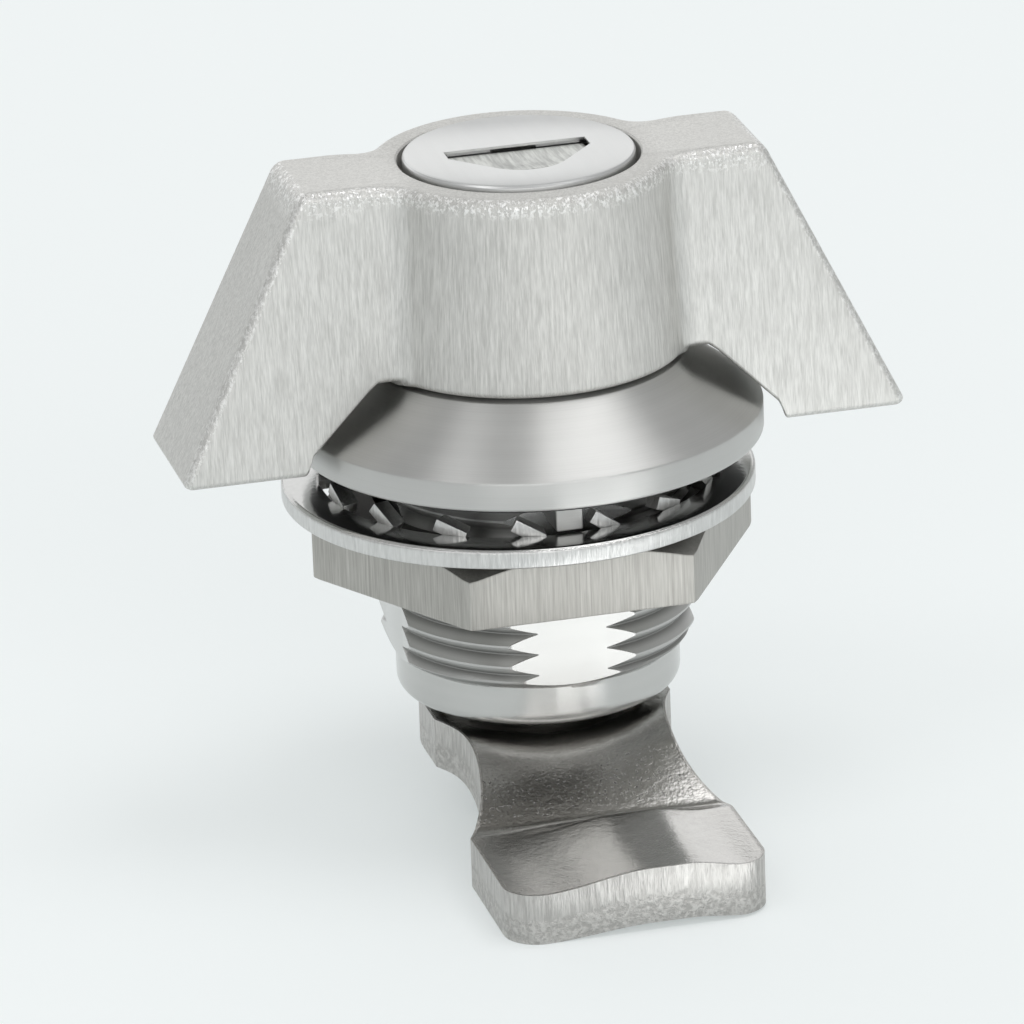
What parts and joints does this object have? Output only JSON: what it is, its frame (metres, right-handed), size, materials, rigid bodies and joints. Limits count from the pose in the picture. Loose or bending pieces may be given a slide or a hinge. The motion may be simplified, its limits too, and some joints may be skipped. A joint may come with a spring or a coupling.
{
  "type": "quarter-turn cam latch",
  "caption": "Lockable quarter-turn cam latch with a wing handle, conical flange, threaded barrel, toothed washer, hexagon nut and a cranked cam that grips behind a door frame.",
  "frame": {"origin": "centre of the flange's underside, where it meets the panel, on the barrel's axis", "axes": "+Z along the barrel towards the handle, +X along the wings, -Y the way the cam points when latched"},
  "size_m": [0.05, 0.043, 0.0462],
  "materials": {
    "satin_steel": "satin brushed stainless steel",
    "turned_steel": "turned stainless steel",
    "washer_steel": "sheared and polished stainless steel",
    "nut_steel": "milled stainless steel",
    "tumbled_steel": "tumbled stainless steel",
    "plug_steel": "satin stainless steel",
    "pin_steel": "plain stainless steel",
    "spring_steel": "spring steel",
    "wafer_brass": "stamped brass",
    "black_rubber": "black rubber"
  },
  "bodies": {
    "barrel": {"housing": "turned_steel", "panel_gasket": "black_rubber", "stop_pin": "pin_steel"},
    "washer": {"toothed_washer": "washer_steel"},
    "nut": {"hex_nut": "nut_steel"},
    "handle": {"wing_handle": "satin_steel", "drive_spindle": "pin_steel", "spindle_cross_pin": "pin_steel", "boss_o_ring": "black_rubber", "thrust_washer": "wafer_brass", "retaining_ring": "spring_steel", "cam": "tumbled_steel", "cam_spring_washer": "spring_steel", "cam_bolt": "pin_steel", "plug_retaining_pin": "pin_steel"},
    "plug": {"lock_plug": "plug_steel", "plug_cap": "plug_steel", "wafer_tumblers": "wafer_brass", "wafer_springs": "spring_steel", "shutter_pin": "pin_steel", "shutter_spring": "spring_steel"},
    "shutter": {"key_shutter": "plug_steel"},
    "bolt": {"lock_bolt": "pin_steel"}
  },
  "joints": [
    {"name": "quarter_turn", "type": "hinge", "parent": "barrel", "child": "handle", "pos_m": [0, 0, 0], "axis": [0, 0, 1], "range_deg": [0, 90]},
    {"name": "key_turn", "type": "hinge", "parent": "handle", "child": "plug", "pos_m": [0, 0, 0.01], "axis": [0, 0, -1], "range_deg": [0, 90]},
    {"name": "bolt_slide", "type": "slide", "parent": "handle", "child": "bolt", "axis": [0, 1, 0], "range_m": [0, 0.00213]},
    {"name": "shutter_swing", "type": "hinge", "parent": "plug", "child": "shutter", "pos_m": [0, 0.00175, 0.0188], "axis": [1, 0, 0], "range_deg": [0, 75], "stiffness_Nm_per_rad": 0.0002, "springref_deg": -34.38},
    {"name": "nut_turn", "type": "hinge", "parent": "washer", "child": "nut", "pos_m": [0, 0, -0.006], "axis": [0, 0, -1], "range_deg": [0, 1440]},
    {"name": "nut_travel", "type": "slide", "parent": "barrel", "child": "washer", "axis": [0, 0, -1], "range_m": [0, 0.00601]}
  ],
  "couplings": [
    {"joint": "bolt_slide", "follows": "key_turn", "m_per_rad": 0.0013505},
    {"joint": "nut_travel", "follows": "nut_turn", "m_per_rad": 0.00023873}
  ]
}
